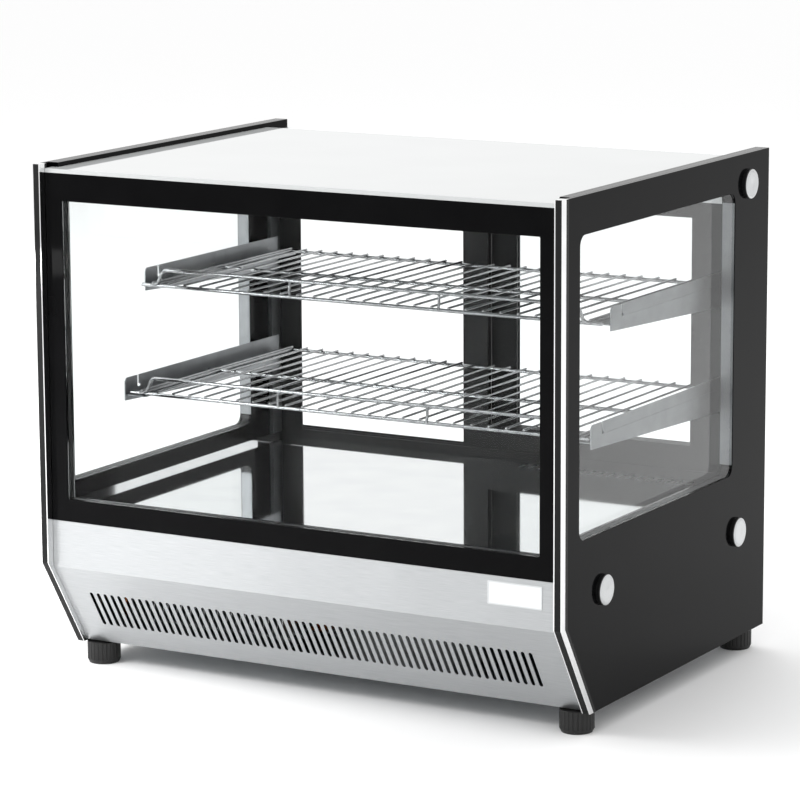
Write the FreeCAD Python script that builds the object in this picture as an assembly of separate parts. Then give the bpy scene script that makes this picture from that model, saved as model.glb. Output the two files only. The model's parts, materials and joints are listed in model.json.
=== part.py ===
import FreeCAD, Part
import math
import os

# Counter-top refrigerated display case for a bakery, in millimetres.
# Case coordinates: x = 0 in the middle, y = 0 at the front face of the edge trims and growing to the
# rear, z = 0 at the lower edge of the side panels. save() moves each piece to the part frame, whose
# origin is on the floor under the middle of the case.

V = FreeCAD.Vector
os.makedirs("parts", exist_ok=True)

# ---- driving dimensions ------------------------------------------------------------------------
WIDTH = 778.0            # over the outer faces of the two side panels
DEPTH = 605.0            # front face of the trims to the rear edge of the side panels
PANEL_HEIGHT = 658.0     # side panel, without the feet
FOOT_HEIGHT = 30.0       # foot below the side panel's lower edge
BEND_HEIGHT = 124.5      # where the front edge turns inwards
BEND_SETBACK = 79.0      # how far the front edge runs back at the bottom

HALF = WIDTH / 2
SLOPE = BEND_SETBACK / BEND_HEIGHT

# side panels: outer pane, black frame between the panes, inner pane
OUTER_PANE = 5.0
FRAME_DEPTH = 10.0
INNER_PANE = 5.0
OUTER_IN = HALF - OUTER_PANE              # inner face of the outer pane
FRAME_IN = OUTER_IN - FRAME_DEPTH         # inner face of the black frame
WALL_IN = FRAME_IN - INNER_PANE           # inner face of the whole side panel
WINDOW_FRONT = 47.0
WINDOW_REAR = 498.0
WINDOW_BOTTOM = 228.0
WINDOW_TOP = 609.0
WINDOW_RADIUS = 14.0

# aluminium trim on the front edge of each side panel
TRIM_WIDTH = 11.3
TRIM_DEPTH = 16.0
INSERT_DEPTH = 1.5
INSERT_EDGE = 1.3
TRIM_IN = HALF - TRIM_WIDTH

# front glazing, between the trims
GLAZING_FRONT = 12.0
FRONT_PANE = 5.0
FRONT_FRAME = 8.0
GLAZING_REAR = GLAZING_FRONT + 2 * FRONT_PANE + FRONT_FRAME
GLAZING_BOTTOM = 182.0
GLAZING_TOP = 646.5
GLAZING_HALF = TRIM_IN - 0.3
FRONT_WINDOW_HALF = 352.0
FRONT_WINDOW_BOTTOM = 212.0
FRONT_WINDOW_TOP = 610.0

# top
TOP_GLASS = 5.5
TOP_REAR = 548.0
TOP_LAP = 28.0             # how far the glass laps over the rear rail
TOP_Z = GLAZING_TOP + TOP_GLASS
SIDE_PLAY = 0.4            # between the side panels and what stands between them
LAMP_RAIL = 30.0
LAMP_RAIL_HEIGHT = 20.0
LAMP_RAIL_WALL = 3.0
LAMP_RAIL_ROOF = 2.0
LAMP_HALF = 330.0
LAMP_BASE_HALF = 9.0
LAMP_BASE_RISE = 10.5
LAMP_DROP = 12.5           # centre of the lens below the top glass
LENS_RADIUS = 7.0
LENS_HALF = 328.0

# lower front panel of stainless sheet
SHEET = 1.2
FOLD_HEIGHT = 118.5
PANEL_LIP = 14.0
LOW_LIP = 6.0
PANEL_BOTTOM = 1.8
SLOT_COUNT = 61
SLOT_FIRST_X = -335.0
SLOT_PITCH = 11.03
SLOT_WIDTH = 5.4
SLOT_LOW = 31.0
SLOT_HIGH = 82.0
SLOT_REACH = 120.0         # depth of the cutters behind the trims' front face
PANEL_GAP = 0.3            # between the glazing and the sheet below it
BADGE_ROUND = 1.5
BADGE_CENTRE_X = 318.0
BADGE_WIDTH = 77.0
BADGE_HEIGHT = 30.0
BADGE_Z = 160.0
BADGE_THICK = 0.6

# deck and the insulated tub under it
DECK_Z = 197.0
DECK_THICK = 1.5
DECK_EDGE = 8.0
DECK_FRONT = GLAZING_REAR + 0.5
DECK_REAR = 571.0
FOAM_THICK = 22.0
TUB_LEFT = 10.0
TUB_RIGHT = 360.0
TUB_FRONT = 150.0
TUB_REAR = 520.0
TUB_BOTTOM = 62.0
TUB_WALL = 16.0
INNER_PLAY = 0.5           # between the side panels and the deck, tub, pan and rear panel
AIR_SLOTS = 20             # slots in the deck, one row before the evaporator and one behind it
AIR_SLOT_FIRST = TUB_LEFT + 34
AIR_SLOT_PITCH = 15.0
AIR_SLOT_WIDTH = 5.0
AIR_SLOT_LENGTH = 24.0
AIR_SLOT_ROWS = (TUB_FRONT - 100, TUB_REAR + 18)
DRAIN_X = TUB_LEFT + 120
DRAIN_Y = TUB_REAR - 60
DRAIN_RADIUS = 5.0
DRAIN_PIPE = 4.8
DRAIN_BORE = 3.6
DRAIN_LENGTH = 44.0
DRAIN_DROP = 28.0          # end of the drain pipe below the tub

# rear frame, tracks and sliding doors
JAMB_WIDTH = 40.0
JAMB_FRONT = 571.5
JAMB_SHEET = 2.0
TRACK_FRONT = 574.0
TRACK_REAR = 604.0
TRACK_BOTTOM = 190.0
TRACK_FLOOR = 3.0
TRACK_TOP = 211.0
TRACK_LIP = 1.2
RAIL_BOTTOM = 590.0
RAIL_TOP = GLAZING_TOP
RAIL_WALL = 2.0
DOOR_THICK = 11.0
DOOR_GAP = 0.4
FRONT_DOOR_Y = 576.0
REAR_DOOR_Y = FRONT_DOOR_Y + DOOR_THICK + 2 * DOOR_GAP + TRACK_LIP
DOOR_WIDTH = 393.0
DOOR_BOTTOM = TRACK_BOTTOM + TRACK_FLOOR + DOOR_GAP
DOOR_TOP = RAIL_BOTTOM + 14.0
DOOR_STILE = 40.0
DOOR_HEAD = 44.0
DOOR_FOOT = 52.0
DOOR_GLASS = 4.0
DOOR_REBATE = 6.0          # how far the pane runs into the frame
DOOR_LIFT = 12.0           # free height above a door, to lift it out of its track
REAR_DOOR_RIGHT = WALL_IN - 1.0           # right edge of the rear door, parked right
FRONT_DOOR_RIGHT = REAR_DOOR_RIGHT - 39.0  # the front door stands 39 mm short of its right stop
PULL_WIDTH = 16.0
PULL_HEIGHT = 110.0
PULL_Z = 400.0
PULL_FLOOR = 3.0           # the cup's bottom above the door's inner face
PULL_ROUND = 7.5
PULL_SHEET = 1.2

# shelves on brackets
WIRE = 3.2
ROD = 5.0
SHELF_HALF = 332.0
SHELF_WIRES = 27
SHELF_REAR = 548.0
UPPER_SHELF_Z = 476.0
UPPER_SHELF_FRONT = 190.0
LOWER_SHELF_Z = 333.0
LOWER_SHELF_FRONT = 158.0
GUARD_HEIGHT = 22.0
UPPER_BRACKET_FRONT = 204.0
LOWER_BRACKET_FRONT = 150.0
BRACKET_X = 351.0
BRACKET_SHEET = 1.5
BRACKET_LEDGE = 30.0
BRACKET_FRONT_HEIGHT = 31.0
BRACKET_REAR_HEIGHT = 48.0
BRACKET_RISE = 20.0                        # plate above the shelf's rods
BRACKET_SLOT_Y = 30.0                      # hook slot behind the bracket's front end
BRACKET_SLOT = 3.5
BRACKET_SLOT_DEPTH = 16.0
BRACKET_CREASE = 15.5                      # pressed line below the plate's top edge
CREASE_HALF = 0.6
LUG_HALF = 3.0                             # half the height of the lugs hooked into a post
LUG_TOP = 14.0
LUG_BOTTOM = 12.0
LUG_SHEET = 2.0
LUG_PLAY = 0.3
SHELF_PLAY = 0.3
BRACKET_REAR = 546.0
POST_FRONT = 547.0
POST_DEPTH = 24.0
POST_THICK = 6.0

# round caps on the side panels: distance from the front, height
CAPS = ((538.0, 617.0), (512.0, 148.0), (113.0, 154.0))
CAP_RADIUS = 20.0
CAP_PROUD = 7.0
CAP_DISC = 1.5
CAP_BOLT = 5.0
CAP_NUT_RADIUS = 9.0
CAP_NUT = 5.0
CAP_BOLT_END = 7.0         # how far the bolt runs inside the panel
COLLAR_ROUND = 1.2
DISC_ROUND = 1.4

# machine compartment
PAN_SHEET = 1.5
PAN_Z = 3.0
PAN_FRONT = 88.5
REAR_PANEL_Y = 590.0
REAR_PANEL_TOP = 188.0
LOUVRE_COUNT = 24
LOUVRE_PITCH = 12.0
LOUVRE_FIRST_X = -335.0
LOUVRE_WIDTH = 5.0
LOUVRE_HEIGHT = 34.0
LOUVRE_ROWS = (34.0, 84.0, 134.0)
REAR_PANEL_LOW = 6.0
SCREWS_X = (-350.0, -120.0, 120.0, 350.0)
SCREWS_Z = (14.0, 180.0)
SCREW_RADIUS = 4.0
SCREW_HEAD = 2.2
PAN_SLOTS = 14             # slots in the pan under the compressor
PAN_SLOT_FIRST_X = -320.0
PAN_SLOT_PITCH = 18.0
PAN_SLOT_WIDTH = 6.0
FOOT_RADIUS = 22.5
FOOT_X = 360.0
FOOT_FRONT_Y = 100.0
FOOT_REAR_Y = 577.0
STUD_RADIUS = 4.0
STUD_TOP = 22.0
STUD_CLEARANCE = 0.5
NECK_RADIUS = 7.2
FOOT_GAP = 0.5             # between the foot and the panel above it
BOSS_RADIUS = 8.0          # socket in the base pan that takes the stud
BOSS_HEIGHT = 18.0
TREAD = 5.0                # height of the foot's tapered lower edge
TREAD_TAPER = 2.5
RIBS = 24
RIB_GROOVE = 1.4


# ---- helpers -----------------------------------------------------------------------------------
def block(x0, x1, y0, y1, z0, z1):
    """A box from its lowest to its highest corner."""
    return Part.makeBox(x1 - x0, y1 - y0, z1 - z0, V(x0, y0, z0))


def face_of(points):
    """A flat face from a closed outline of corners."""
    return Part.Face(Part.makePolygon(list(points) + [points[0]]))


def prism_x(outline, x0, x1):
    """An outline of (y, z) corners, extruded from x0 to x1."""
    return face_of([V(x0, y, z) for y, z in outline]).extrude(V(x1 - x0, 0, 0))


def rod(start, end, radius):
    """A round bar between two points."""
    along = end - start
    return Part.makeCylinder(radius, along.Length, start, along)


def disc(radius, length, centre, direction):
    """A cylinder that starts at centre and runs along direction."""
    return Part.makeCylinder(radius, length, centre, direction)


def join(shapes):
    """One solid from pieces that overlap."""
    return shapes[0].multiFuse(list(shapes[1:])).removeSplitter()


def mirrored(shape):
    """The same piece on the other side of the case."""
    return shape.mirror(V(0, 0, 0), V(1, 0, 0))


def rounded_hole_x(y0, y1, z0, z1, radius, x0, x1):
    """A rounded rectangle in the YZ plane, extruded along x, to cut a window."""
    hole = block(x0, x1, y0, y1, z0, z1)
    edges = [e for e in hole.Edges if abs(e.tangentAt(e.FirstParameter).x) > 0.9]
    return hole.makeFillet(radius, edges)


def rounded_y(x0, x1, y0, y1, z0, z1, radius):
    """A block whose four edges along y are rounded."""
    body = block(x0, x1, y0, y1, z0, z1)
    edges = [e for e in body.Edges if abs(e.tangentAt(e.FirstParameter).y) > 0.9]
    return body.makeFillet(radius, edges)


def rounded_z(x0, x1, y0, y1, z0, z1, radius):
    """A block whose four edges along z are rounded."""
    body = block(x0, x1, y0, y1, z0, z1)
    edges = [e for e in body.Edges if abs(e.tangentAt(e.FirstParameter).z) > 0.9]
    return body.makeFillet(radius, edges)


def slope_y(setback, z):
    """Where a sheet set back from the trims' front face lies at height z on the inclined part."""
    return setback + max(0.0, BEND_HEIGHT - z) * SLOPE


def save(name, shape):
    """Move a piece to the part frame and write it to its STEP file."""
    moved = shape.copy()
    moved.translate(V(0, -DEPTH / 2, FOOT_HEIGHT))
    moved.exportStep(os.path.join("parts", name + ".step"))


# ---- side panels -------------------------------------------------------------------------------
def panel_outline(front, rear, top):
    """The side of the case: upright at the front, then turned inwards below the bend."""
    return [(front, BEND_HEIGHT), (slope_y(front, 0), 0), (rear, 0), (rear, top), (front, top)]


def make_side_panels():
    window = (WINDOW_FRONT, WINDOW_REAR, WINDOW_BOTTOM, WINDOW_TOP, WINDOW_RADIUS)
    outer = prism_x(panel_outline(TRIM_DEPTH, DEPTH, PANEL_HEIGHT), OUTER_IN, HALF)
    frame_outer = prism_x(panel_outline(TRIM_DEPTH, DEPTH, PANEL_HEIGHT), TRIM_IN, OUTER_IN)
    frame_inner = prism_x(panel_outline(GLAZING_REAR, DEPTH, PANEL_HEIGHT), FRAME_IN, TRIM_IN)
    frame = join([frame_outer, frame_inner])
    frame = frame.cut(rounded_hole_x(*window, FRAME_IN - 1, OUTER_IN + 1))
    inner = prism_x(panel_outline(GLAZING_REAR, DEPTH, PANEL_HEIGHT), WALL_IN, FRAME_IN)
    bolts = [disc(CAP_BOLT, HALF - WALL_IN + 2, V(WALL_IN - 1, y, z), V(1, 0, 0)) for y, z in CAPS]
    for bolt in bolts:
        outer = outer.cut(bolt)
        frame = frame.cut(bolt)
        inner = inner.cut(bolt)
    pieces = {"outer_glass": outer, "border": frame, "inner_glass": inner}
    for name, shape in pieces.items():
        save("right_" + name, shape)
        save("left_" + name, mirrored(shape))


def make_trims():
    """A channel over each panel's front edge, and the black strip let into its face."""
    body = prism_x(trim_outline(0.0, TRIM_DEPTH), TRIM_IN, HALF)
    strip = prism_x(trim_outline(0.0, INSERT_DEPTH), TRIM_IN + INSERT_EDGE, HALF - INSERT_EDGE)
    body = body.cut(strip)
    save("right_trim", body)
    save("left_trim", mirrored(body))
    save("trim_inserts", Part.makeCompound([strip, mirrored(strip)]))


def trim_outline(front, rear):
    """A band along the front edge of the panel, upright and then inclined."""
    foot_front = slope_y(front, 0)
    foot_rear = slope_y(rear, 0)
    return [(front, PANEL_HEIGHT), (front, BEND_HEIGHT), (foot_front, 0), (foot_rear, 0),
            (rear, BEND_HEIGHT), (rear, PANEL_HEIGHT)]


def make_caps():
    bodies = []
    discs = []
    for y, z in CAPS:
        collar_length = CAP_PROUD - CAP_DISC
        collar = disc(CAP_RADIUS, collar_length, V(HALF, y, z), V(1, 0, 0))
        collar = collar.makeFillet(COLLAR_ROUND, [collar.Edges[0]])
        bolt = disc(CAP_BOLT, HALF - WALL_IN + CAP_BOLT_END, V(WALL_IN - CAP_BOLT_END, y, z), V(1, 0, 0))
        nut = disc(CAP_NUT_RADIUS, CAP_NUT, V(WALL_IN - CAP_NUT, y, z), V(1, 0, 0))
        body = join([collar, bolt, nut])
        face = disc(CAP_RADIUS, CAP_DISC, V(HALF + collar_length, y, z), V(1, 0, 0))
        rim = [e for e in face.Edges if e.BoundBox.XMin > HALF + CAP_PROUD - 0.1]
        face = face.makeFillet(DISC_ROUND, rim)
        bodies += [body, mirrored(body)]
        discs += [face, mirrored(face)]
    save("cap_bodies", Part.makeCompound(bodies))
    save("cap_discs", Part.makeCompound(discs))


# ---- front glazing, top and lower front ---------------------------------------------------------
def make_front_glazing():
    pane = block(-GLAZING_HALF, GLAZING_HALF, GLAZING_FRONT, GLAZING_FRONT + FRONT_PANE,
                 GLAZING_BOTTOM, GLAZING_TOP)
    frame_y = GLAZING_FRONT + FRONT_PANE
    frame = block(-GLAZING_HALF, GLAZING_HALF, frame_y, frame_y + FRONT_FRAME, GLAZING_BOTTOM, GLAZING_TOP)
    frame = frame.cut(block(-FRONT_WINDOW_HALF, FRONT_WINDOW_HALF, frame_y - 1, frame_y + FRONT_FRAME + 1,
                            FRONT_WINDOW_BOTTOM, FRONT_WINDOW_TOP))
    back = block(-GLAZING_HALF, GLAZING_HALF, frame_y + FRONT_FRAME, GLAZING_REAR,
                 GLAZING_BOTTOM, GLAZING_TOP)
    save("front_outer_glass", pane)
    save("front_border", frame)
    save("front_inner_glass", back)


def make_top():
    half = WALL_IN - SIDE_PLAY
    glass = block(-half, half, GLAZING_REAR, TOP_REAR, GLAZING_TOP, TOP_Z)
    nose = block(-GLAZING_HALF, GLAZING_HALF, GLAZING_FRONT, GLAZING_REAR, GLAZING_TOP, TOP_Z)
    save("top_glass", join([glass, nose]))
    rail_rear = GLAZING_REAR + LAMP_RAIL
    rail_low = GLAZING_TOP - LAMP_RAIL_HEIGHT
    rail = block(-half, half, GLAZING_REAR, rail_rear, rail_low, GLAZING_TOP)
    rail = rail.cut(block(-HALF, HALF, GLAZING_REAR + LAMP_RAIL_WALL, rail_rear - LAMP_RAIL_WALL,
                          rail_low - 1, GLAZING_TOP - LAMP_RAIL_ROOF))
    save("lamp_rail", rail)
    save("led_lamp", rounded_lamp(GLAZING_REAR + LAMP_RAIL / 2, GLAZING_TOP - LAMP_DROP))


def rounded_lamp(y, z):
    """The light strip: a flat-topped bar with a round lens below, in the rail's channel."""
    base = block(-LAMP_HALF, LAMP_HALF, y - LAMP_BASE_HALF, y + LAMP_BASE_HALF, z - 1, z + LAMP_BASE_RISE)
    lens = disc(LENS_RADIUS, 2 * LENS_HALF, V(-LENS_HALF, y, z), V(1, 0, 0))
    return join([base, lens])


def front_sheet_line(offset):
    """Points of the lower front sheet, moved back by offset, from its top edge to its bottom."""
    y_up = GLAZING_FRONT + offset
    y_low = GLAZING_FRONT + offset + (FOLD_HEIGHT - PANEL_BOTTOM) * SLOPE
    return [(y_up, GLAZING_BOTTOM - PANEL_GAP), (y_up, FOLD_HEIGHT), (y_low, PANEL_BOTTOM)]


def make_front_panel():
    outside = front_sheet_line(0)
    inside = front_sheet_line(SHEET)
    sheet = prism_x(outside + inside[::-1], -GLAZING_HALF, GLAZING_HALF)
    foot_y = inside[-1][0] - SHEET
    top_lip = block(-GLAZING_HALF, GLAZING_HALF, GLAZING_FRONT, GLAZING_FRONT + PANEL_LIP,
                    GLAZING_BOTTOM - PANEL_GAP - SHEET, GLAZING_BOTTOM - PANEL_GAP)
    low_lip = block(-GLAZING_HALF, GLAZING_HALF, foot_y, foot_y + LOW_LIP, PANEL_BOTTOM,
                    PANEL_BOTTOM + SHEET)
    panel = join([sheet, top_lip, low_lip])
    slots = []
    radius = SLOT_WIDTH / 2
    for i in range(SLOT_COUNT):
        x = SLOT_FIRST_X + i * SLOT_PITCH
        middle = block(x - radius, x + radius, 0, SLOT_REACH, SLOT_LOW + radius, SLOT_HIGH - radius)
        low = disc(radius, SLOT_REACH, V(x, 0, SLOT_LOW + radius), V(0, 1, 0))
        high = disc(radius, SLOT_REACH, V(x, 0, SLOT_HIGH - radius), V(0, 1, 0))
        slots.append(join([middle, low, high]))
    panel = panel.cut(Part.makeCompound(slots))
    save("front_panel", panel)
    badge = rounded_y(BADGE_CENTRE_X - BADGE_WIDTH / 2, BADGE_CENTRE_X + BADGE_WIDTH / 2,
                      GLAZING_FRONT - BADGE_THICK, GLAZING_FRONT,
                      BADGE_Z - BADGE_HEIGHT / 2, BADGE_Z + BADGE_HEIGHT / 2, BADGE_ROUND)
    save("badge", badge)


# ---- deck, tub and cooling ----------------------------------------------------------------------
def make_deck():
    half = WALL_IN - INNER_PLAY
    deck = block(-half, half, DECK_FRONT, DECK_REAR, DECK_Z, DECK_Z + DECK_THICK)
    edge = block(half - DECK_THICK, half, DECK_FRONT, DECK_REAR, DECK_Z, DECK_Z + DECK_EDGE)
    deck = join([deck, edge, mirrored(edge)])
    slots = []
    for i in range(AIR_SLOTS):
        x = AIR_SLOT_FIRST + i * AIR_SLOT_PITCH
        for y in AIR_SLOT_ROWS:
            slots.append(block(x, x + AIR_SLOT_WIDTH, y, y + AIR_SLOT_LENGTH, DECK_Z - 1, DECK_Z + 3))
    deck = deck.cut(Part.makeCompound(slots))
    save("deck", deck)


def make_tub():
    """The foam slab under the deck, with the well that holds the evaporator."""
    half = WALL_IN - INNER_PLAY
    slab = block(-half, half, DECK_FRONT + 1, DECK_REAR - 1, DECK_Z - FOAM_THICK, DECK_Z - 0.2)
    well = block(TUB_LEFT, TUB_RIGHT, TUB_FRONT, TUB_REAR, TUB_BOTTOM, DECK_Z - FOAM_THICK + 1)
    tub = join([slab, well])
    hollow = block(TUB_LEFT + TUB_WALL, TUB_RIGHT - TUB_WALL, TUB_FRONT + TUB_WALL, TUB_REAR - TUB_WALL,
                   TUB_BOTTOM + TUB_WALL, DECK_Z)
    ducts = block(TUB_LEFT + 30, TUB_RIGHT - TUB_WALL, TUB_FRONT - 104, TUB_REAR + 46,
                  DECK_Z - FOAM_THICK + 6, DECK_Z)
    tub = tub.cut(hollow).cut(ducts)
    drain = disc(DRAIN_RADIUS, TUB_WALL + 4, V(DRAIN_X, DRAIN_Y, TUB_BOTTOM - 2), V(0, 0, 1))
    save("insulation_tub", tub.cut(drain))


EVAPORATOR_Y = 205.0
EVAPORATOR_DEPTH = 110.0
FAN_X = 185.0
FAN_Z = 128.0
FAN_RADIUS = 41.0
EVAPORATOR_FAN_Y = 350.0
EVAPORATOR_FINS = 26
EVAPORATOR_LOW = 82.0
EVAPORATOR_HIGH = 174.0
END_PLATE = 1.6
FIN = 0.7
COIL_TUBE = 4.5
TUBE_END = 12.0            # return bends, drawn as straight ends past the end plates
BLADE_TWIST = 38.0


def finned_coil(x0, x1, y0, y1, z0, z1, fins, tube_rows):
    """Thin fins across two end plates, with tubes along x through them."""
    pieces = []
    step = (x1 - x0 - 2) / (fins - 1)
    for i in range(fins):
        thick = END_PLATE if i in (0, fins - 1) else FIN
        x = x0 + i * step
        pieces.append(block(x, x + thick, y0, y1, z0, z1))
    for y, z in tube_rows:
        pieces.append(rod(V(x0 - TUBE_END, y, z), V(x1 + TUBE_END, y, z), COIL_TUBE))
    return join(pieces)


def grid(y_values, z_values):
    return [(y, z) for y in y_values for z in z_values]


def make_evaporator():
    x0 = TUB_LEFT + TUB_WALL + 22
    x1 = TUB_RIGHT - TUB_WALL - 22
    tubes = grid((EVAPORATOR_Y + 20, EVAPORATOR_Y + 55, EVAPORATOR_Y + 90), (98, 128, 158))
    coil = finned_coil(x0, x1, EVAPORATOR_Y, EVAPORATOR_Y + EVAPORATOR_DEPTH,
                       EVAPORATOR_LOW, EVAPORATOR_HIGH, EVAPORATOR_FINS, tubes)
    save("evaporator", coil)
    save("evaporator_fan_frame", fan_frame(FAN_X, EVAPORATOR_FAN_Y, FAN_Z, FAN_RADIUS, 96.0, 25.0))
    save("evaporator_fan_rotor", fan_rotor(FAN_X, EVAPORATOR_FAN_Y, FAN_Z, FAN_RADIUS - 2, 16.0, 7))


def fan_frame(x, y, z, radius, size, depth):
    """A square fan housing with a round duct, a motor hub and four struts."""
    half = size / 2
    body = rounded_y(x - half, x + half, y, y + depth, z - half, z + half, 4)
    body = body.cut(disc(radius, depth + 2, V(x, y - 1, z), V(0, 1, 0)))
    struts = [disc(15, 5, V(x, y, z), V(0, 1, 0))]
    struts.append(block(x - half + 2, x + half - 2, y, y + 3, z - 2, z + 2))
    struts.append(block(x - 2, x + 2, y, y + 3, z - half + 2, z + half - 2))
    return join([body] + struts)


def fan_rotor(x, y, z, radius, hub, blades):
    """A hub with pitched blades, turning on the fan frame's motor."""
    start = y + 6
    hub_body = disc(hub, 16, V(x, start, z), V(0, 1, 0))
    pieces = [hub_body]
    for i in range(blades):
        angle = 360.0 / blades * i
        blade = block(-7, 7, -0.9, 0.9, hub - 3, radius)
        blade.rotate(V(0, 0, 0), V(0, 0, 1), BLADE_TWIST)
        blade.translate(V(0, start + 8, 0))
        blade.rotate(V(0, start + 8, 0), V(0, 1, 0), angle)
        blade.translate(V(x, 0, z))
        pieces.append(blade)
    return join(pieces)


CONDENSER_X = -205.0
CONDENSER_Y = 118.0
CONDENSER_FAN_Z = 88.0
CONDENSER_FAN_Y = 172.0
CONDENSER_FAN_RADIUS = 70.0
CONDENSER_HALF = 120.0
CONDENSER_DEPTH = 46.0
CONDENSER_LOW = 12.0
CONDENSER_HIGH = 165.0
CONDENSER_FINS = 34
SHELL_LOWER = 72.0         # radii of the compressor's shell and of its welded seam
SHELL_UPPER = 71.0
SHELL_SEAM = 75.0
COMPRESSOR_X = -235.0
COMPRESSOR_Y = 400.0


def make_condenser():
    tubes = grid((CONDENSER_Y + 12, CONDENSER_Y + 34), (28, 58, 88, 118, 148))
    coil = finned_coil(CONDENSER_X - CONDENSER_HALF, CONDENSER_X + CONDENSER_HALF, CONDENSER_Y,
                       CONDENSER_Y + CONDENSER_DEPTH, CONDENSER_LOW, CONDENSER_HIGH, CONDENSER_FINS, tubes)
    save("condenser", coil)
    save("condenser_fan_frame",
         fan_frame(CONDENSER_X, CONDENSER_FAN_Y, CONDENSER_FAN_Z, CONDENSER_FAN_RADIUS, 152.0, 32.0))
    save("condenser_fan_rotor",
         fan_rotor(CONDENSER_X, CONDENSER_FAN_Y, CONDENSER_FAN_Z, CONDENSER_FAN_RADIUS - 3, 22.0, 5))


def make_compressor():
    base_z = PAN_Z + PAN_SHEET
    lower = disc(SHELL_LOWER, 66, V(COMPRESSOR_X, COMPRESSOR_Y, base_z + 14), V(0, 0, 1))
    lower = lower.makeFillet(22, [e for e in lower.Edges if e.BoundBox.ZMax < base_z + 15])
    upper = disc(SHELL_UPPER, 62, V(COMPRESSOR_X, COMPRESSOR_Y, base_z + 78), V(0, 0, 1))
    upper = upper.makeFillet(28, [e for e in upper.Edges if e.BoundBox.ZMin > base_z + 139])
    seam = disc(SHELL_SEAM, 4, V(COMPRESSOR_X, COMPRESSOR_Y, base_z + 77), V(0, 0, 1))
    plate = rounded_z(COMPRESSOR_X - 85, COMPRESSOR_X + 85, COMPRESSOR_Y - 60, COMPRESSOR_Y + 60,
                      base_z + 10, base_z + 16, 12)
    pieces = [lower, upper, seam, plate]
    for dx in (-72, 72):
        for dy in (-46, 46):
            pieces.append(disc(11, 11, V(COMPRESSOR_X + dx, COMPRESSOR_Y + dy, base_z), V(0, 0, 1)))
    terminals = rounded_z(COMPRESSOR_X + 60, COMPRESSOR_X + 96, COMPRESSOR_Y - 24, COMPRESSOR_Y + 24,
                          base_z + 60, base_z + 118, 6)
    pieces.append(terminals)
    save("compressor", join(pieces))


def bent_tube(points, radius, bend):
    """A tube along straight runs with a tangent arc at each corner."""
    edges = []
    start = points[0]
    for before, corner, after in zip(points, points[1:], points[2:]):
        way_in = (corner - before).normalize()
        way_out = (after - corner).normalize()
        enter = corner - way_in * bend
        leave = corner + way_out * bend
        middle = corner + (way_out - way_in) * (bend * (1 - math.sqrt(0.5)))
        edges.append(Part.LineSegment(start, enter).toShape())
        edges.append(Part.Arc(enter, middle, leave).toShape())
        start = leave
    edges.append(Part.LineSegment(start, points[-1]).toShape())
    path = Part.Wire(edges)
    first = (points[1] - points[0]).normalize()
    section = Part.Wire(Part.Circle(points[0], first, radius).toShape())
    return path.makePipeShell([section], True, False)


def make_refrigerant_lines():
    """Copper lines: hot gas to the condenser, liquid with its drier, and suction from the coil."""
    z_top = 152.0
    hot = bent_tube([V(-250, 468.5, 96), V(-250, 520, 96), V(-345, 520, 96), V(-345, 134, 96),
                     V(-345, 134, 28)], 4.0, 15.0)
    suction = bent_tube([V(-220, 468.5, 100), V(-220, 545, 100), V(-40, 545, 100), V(-40, 260, 100),
                         V(-40, 260, z_top), V(-4, 260, z_top)], 5.0, 15.0)
    liquid = bent_tube([V(-60, 152, 40), V(-60, 240, 40), V(-60, 240, 130), V(-4, 240, 130)], 3.0, 12.0)
    drier = disc(11, 70, V(-60, 170, 40), V(0, 1, 0))
    drier = drier.makeFillet(5, drier.Edges)
    lines = [hot, suction, join([liquid, drier])]
    save("refrigerant_lines", Part.makeCompound(lines))


def make_drip_tray():
    x0, x1, y0, y1 = TUB_LEFT + 60, TUB_LEFT + 260, TUB_REAR - 130, TUB_REAR + 20
    z0 = PAN_Z + PAN_SHEET + 0.2
    tray = rounded_z(x0, x1, y0, y1, z0, z0 + 26, 10)
    tray = tray.cut(rounded_z(x0 + 2, x1 - 2, y0 + 2, y1 - 2, z0 + 2, z0 + 30, 8))
    pipe = disc(DRAIN_PIPE, DRAIN_LENGTH, V(DRAIN_X, DRAIN_Y, TUB_BOTTOM - DRAIN_DROP), V(0, 0, 1))
    bore = disc(DRAIN_BORE, DRAIN_LENGTH + 2, V(DRAIN_X, DRAIN_Y, TUB_BOTTOM - DRAIN_DROP - 1), V(0, 0, 1))
    pipe = pipe.cut(bore)
    save("drip_tray", Part.makeCompound([tray, pipe]))


# ---- base, feet and rear panel -------------------------------------------------------------------
def foot_places():
    return {"front_left": (-FOOT_X, FOOT_FRONT_Y), "front_right": (FOOT_X, FOOT_FRONT_Y),
            "rear_left": (-FOOT_X, FOOT_REAR_Y), "rear_right": (FOOT_X, FOOT_REAR_Y)}


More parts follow.
